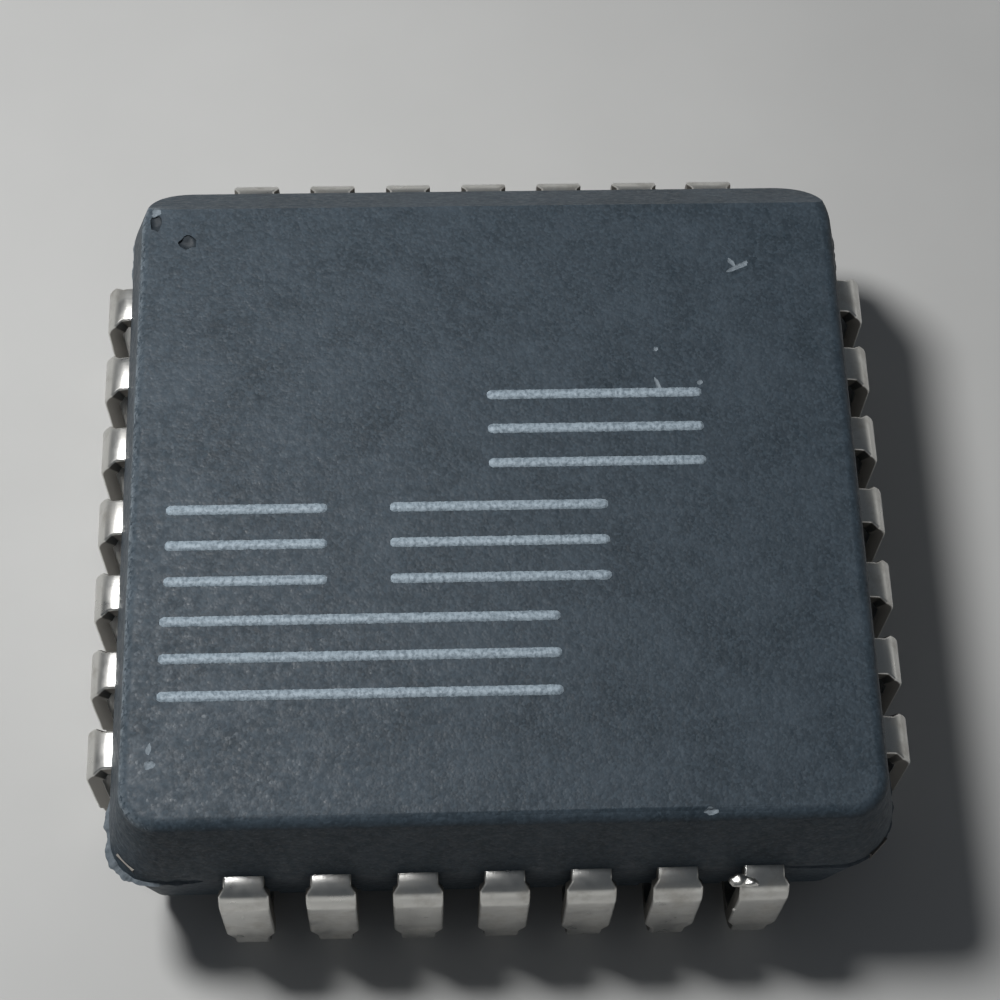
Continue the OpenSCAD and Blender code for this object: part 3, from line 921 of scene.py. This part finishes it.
total = add_node(tree, "GeometryNodeSplineLength").outputs["Length"]
left = add_node(tree, "ShaderNodeMath", {0: total, 1: gone}, operation="SUBTRACT").outputs[0]
nearest = add_node(tree, "ShaderNodeMath", {0: gone, 1: left}, operation="MINIMUM").outputs[0]
nib = add_node(tree, "ShaderNodeMath", {0: given.outputs["Stroke"], 1: 0.5}, operation="MULTIPLY").outputs[0]
into_nib = add_node(tree, "ShaderNodeMapRange", {
    "Value": nearest, "From Max": nib, "To Min": 0.1, "To Max": 1.0}).outputs["Result"]
short_of = add_node(tree, "ShaderNodeMath", {0: 2.0, 1: into_nib}, operation="SUBTRACT").outputs[0]
circle = add_node(tree, "ShaderNodeMath", {0: into_nib, 1: short_of}, operation="MULTIPLY").outputs[0]
round_end = add_node(tree, "ShaderNodeMath", {0: circle}, operation="SQRT").outputs[0]
stroke_scale = add_node(tree, "ShaderNodeMath", {
    0: uneven.outputs["Result"], 1: round_end}, operation="MULTIPLY").outputs[0]
profile = add_node(tree, "GeometryNodeCurvePrimitiveQuadrilateral", {
    "Width": given.outputs["Stroke"], "Height": given.outputs["Ink depth"]}, mode="RECTANGLE")
swept = add_node(tree, "GeometryNodeCurveToMesh", {
    "Curve": upright.outputs[0], "Profile Curve": profile.outputs[0],
    "Scale": stroke_scale, "Fill Caps": True})
real = add_node(tree, "GeometryNodeRealizeInstances", {"Geometry": swept.outputs[0]})
finished = add_node(tree, "GeometryNodeSetMaterial", {
    "Geometry": real.outputs[0], "Material": given.outputs["Finish"]})
tree.links.new(finished.outputs[0], result.inputs["Geometry"])
stripe_tree = tree
print(stripe_tree.name, "with", len(tree.nodes), "nodes")

# %% Print the fields
fields_in_mm = (
    # start x, end x, middle y
    (-0.10, 3.20, 0.71), (-4.94, -2.54, -1.16), (-1.60, 1.67, -1.16), (-4.98, 0.88, -2.95))
ink_depth = 0.006 * mm
centre_lines = bmesh.new()
for start_x, end_x, y in fields_in_mm:
    ends = [centre_lines.verts.new((x * mm, y * mm, top + 0.2 * ink_depth)) for x in (start_x, end_x)]
    centre_lines.edges.new(ends)
stripes = new_object("marking_stripes", centre_lines, [ink])
run_tree(stripes, stripe_tree, {
    "Stripes": 3, "Spacing": 0.58 * mm, "Stroke": 0.16 * mm, "Ink depth": ink_depth,
    "Step": 0.016 * mm, "Finish": ink})
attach(stripes, "root")
print("print:", len(stripes.data.polygons), "faces in", len(fields_in_mm), "fields")

# %% [markdown]
# ## A bead of tin
# The last lead of the front row carries a bead of plating on the left of its shoulder, in two lumps, and
# a smaller one further down. They are uneven lumps, sunk into the lead so that no gap shows, and they
# store the same flat place that the leads do, because they share the finish.

# %% Add the beads
last_lead = 3 * pitch
front_shoulder = Vector((last_lead, -(lead_reach - 0.6 * shoulder_radius), sheet_top))
limb_edge = Vector((last_lead - 0.36 * mm, -lead_reach, sheet_top))
bead_unevenness = 0.4
first_bead_seed = 21
beads_in_mm = (
    # start, way from there, half lengths, turn in radians
    (front_shoulder, (-0.38, -0.03, -0.06), (0.14, 0.10, 0.07), 0.1),
    (front_shoulder, (-0.22, -0.06, -0.06), (0.12, 0.07, 0.05), -0.1),
    (limb_edge, (0, 0.02, -0.95), (0.035, 0.03, 0.06), 0),
)
beads = bmesh.new()
for seed, (start, way, size, turn) in enumerate(beads_in_mm, first_bead_seed):
    add_lump(beads, start + Vector(way) * mm, Vector(size) * mm, turn, seed, bead_unevenness)
bead = new_object("tin_beads", beads, [tin])
kept_place = bead.data.attributes.new("flat_place", "FLOAT_VECTOR", "POINT")
for point, stored_place in zip(bead.data.vertices, kept_place.data):
    stored_place.vector = point.co
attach(bead, "root")
print("beads:", len(bead.data.polygons), "faces")

# %% [markdown]
# ## Parts inside
# The pad with its tie bars, the film, the die and its wires keep their solid shapes, and only the cut
# ends of the tie bars can be seen, at the corners. Each still gets the finish of its real material, so
# a cut-away view needs no more work. The rolled pad is a dull tarnished metal, the film a pale grainy
# grey, the die a dark blue mirror under its glassy coat, and the drawn wires are bright yellow.

# %% Make the finishes of the inside parts
inside_finishes = {
    "die_pad": two_tone_finish(
        "rolled_copper_alloy", ("#56534f", "#827e79"), 0.08, 4.0, (0.55, 0.75), metallic=1.0),
    "die_attach": two_tone_finish(
        "silver_filled_epoxy", ("#8f9092", "#c3c4c4"), 0.03, 4.0, (0.45, 0.7), metallic=0.4),
    "die": two_tone_finish(
        "passivated_silicon", ("#2f3340", "#56607a"), 0.25, 4.0, (0.1, 0.25), metallic=0.5),
    "bond_wires": two_tone_finish(
        "drawn_gold_wire", ("#d9a94e", "#efcd82"), 0.05, 4.0, (0.15, 0.3), metallic=1.0),
}
for name, finish in inside_finishes.items():
    for slot in frame["nodes"][name].material_slots:
        slot.material = finish
print("inside finishes:", ", ".join(inside_finishes))

# %% [markdown]
# ## Floor and light
# The part stands on a plain pale floor. One soft lamp stands high on the left and a little behind, as in
# the photograph, so the left leads shine and the front is in shade. It is close, which gives the top its
# slow change from left to right. The surroundings give a weak even light. Camera, mirror and see-through
# rays see a paler background than the one that lights the part, darker overhead so that the tin keeps its
# contrast, and the floor glows for them where it is too far for the lamp. That keeps the picture pale
# without more light on the dark resin.

# %% Lay the floor
def sees_background(tree):
    """Gives 1 for camera, mirror and see-through rays, and 0 for the rays that carry light."""
    ray = add_node(tree, "ShaderNodeLightPath").outputs
    camera_or_mirror = add_node(tree, "ShaderNodeMath", {
        0: ray["Is Camera Ray"], 1: ray["Is Glossy Ray"]}, operation="MAXIMUM").outputs[0]
    return add_node(tree, "ShaderNodeMath", {
        0: camera_or_mirror, 1: ray["Is Transmission Ray"]}, operation="MAXIMUM").outputs[0]


floor_half_width = 0.6
floor_finish, tree, shader, place = start_finish("pale_matt_board")
fibres = add_node(tree, "ShaderNodeTexNoise", {
    "Vector": place, "Scale": 1 / (3.0 * mm), "Detail": 5.0}).outputs["Fac"]
floor_tone = add_node(tree, "ShaderNodeMix", {
    0: fibres, 6: linear("#bdbdbb"), 7: linear("#c6c6c4")}, data_type="RGBA").outputs[2]
from_middle = add_node(tree, "ShaderNodeVectorMath", {0: place}, operation="LENGTH").outputs["Value"]
far_glow = add_node(tree, "ShaderNodeMapRange", {
    "Value": from_middle, "From Min": 14 * mm, "From Max": 90 * mm, "To Max": 0.7}).outputs["Result"]
seen_glow = add_node(tree, "ShaderNodeMath", {
    0: far_glow, 1: sees_background(tree)}, operation="MULTIPLY").outputs[0]
shader.inputs["Roughness"].default_value = 0.85
shader.inputs["Emission Color"].default_value = linear("#e0e0de")
tree.links.new(floor_tone, shader.inputs["Base Color"])
tree.links.new(seen_glow, shader.inputs["Emission Strength"])
board = bmesh.new()
bmesh.ops.create_grid(board, x_segments=8, y_segments=8, size=floor_half_width)
floor = new_object("floor", board, [floor_finish])
print("floor laid,", floor.dimensions.x, "m wide")

# %% Set the lamp and the surroundings
lamp_place = Vector((-16, 6.4, 40)) * mm
lamp_size = 9 * mm
lamp_power = 0.0163
lamp = bpy.data.objects.new("soft_lamp", bpy.data.lights.new("soft_lamp", "AREA"))
scene.collection.objects.link(lamp)
lamp.data.shape = "DISK"
lamp.data.size = lamp_size
lamp.data.energy = lamp_power
lamp.location = lamp_place
lamp.rotation_euler = lamp_place.to_track_quat("Z", "Y").to_euler()

surroundings = bpy.data.worlds.new("surroundings")
scene.world = surroundings
surroundings.use_nodes = True
tree = surroundings.node_tree
direction = add_node(tree, "ShaderNodeTexCoord").outputs["Generated"]
climb = add_node(tree, "ShaderNodeSeparateXYZ", {0: direction}).outputs["Z"]
overhead = add_node(tree, "ShaderNodeMapRange", {
    "Value": climb, "From Min": 0.0, "From Max": 0.4}).outputs["Result"]
backdrop_tone = add_node(tree, "ShaderNodeMix", {
    0: overhead, 6: linear("#e0e0de"), 7: linear("#45494d")}, data_type="RGBA").outputs[2]
lighting = add_node(tree, "ShaderNodeBackground", {"Color": linear("#dfe6f0"), "Strength": 0.1})
backdrop = add_node(tree, "ShaderNodeBackground", {"Color": backdrop_tone, "Strength": 1.0})
either = add_node(tree, "ShaderNodeMixShader", {
    0: sees_background(tree), 1: lighting.outputs[0], 2: backdrop.outputs[0]})
tree.links.new(either.outputs[0], tree.nodes["World Output"].inputs["Surface"])
scene.view_settings.view_transform = "Standard"
print("lamp at", [round(v / mm) for v in lamp.location], "mm")
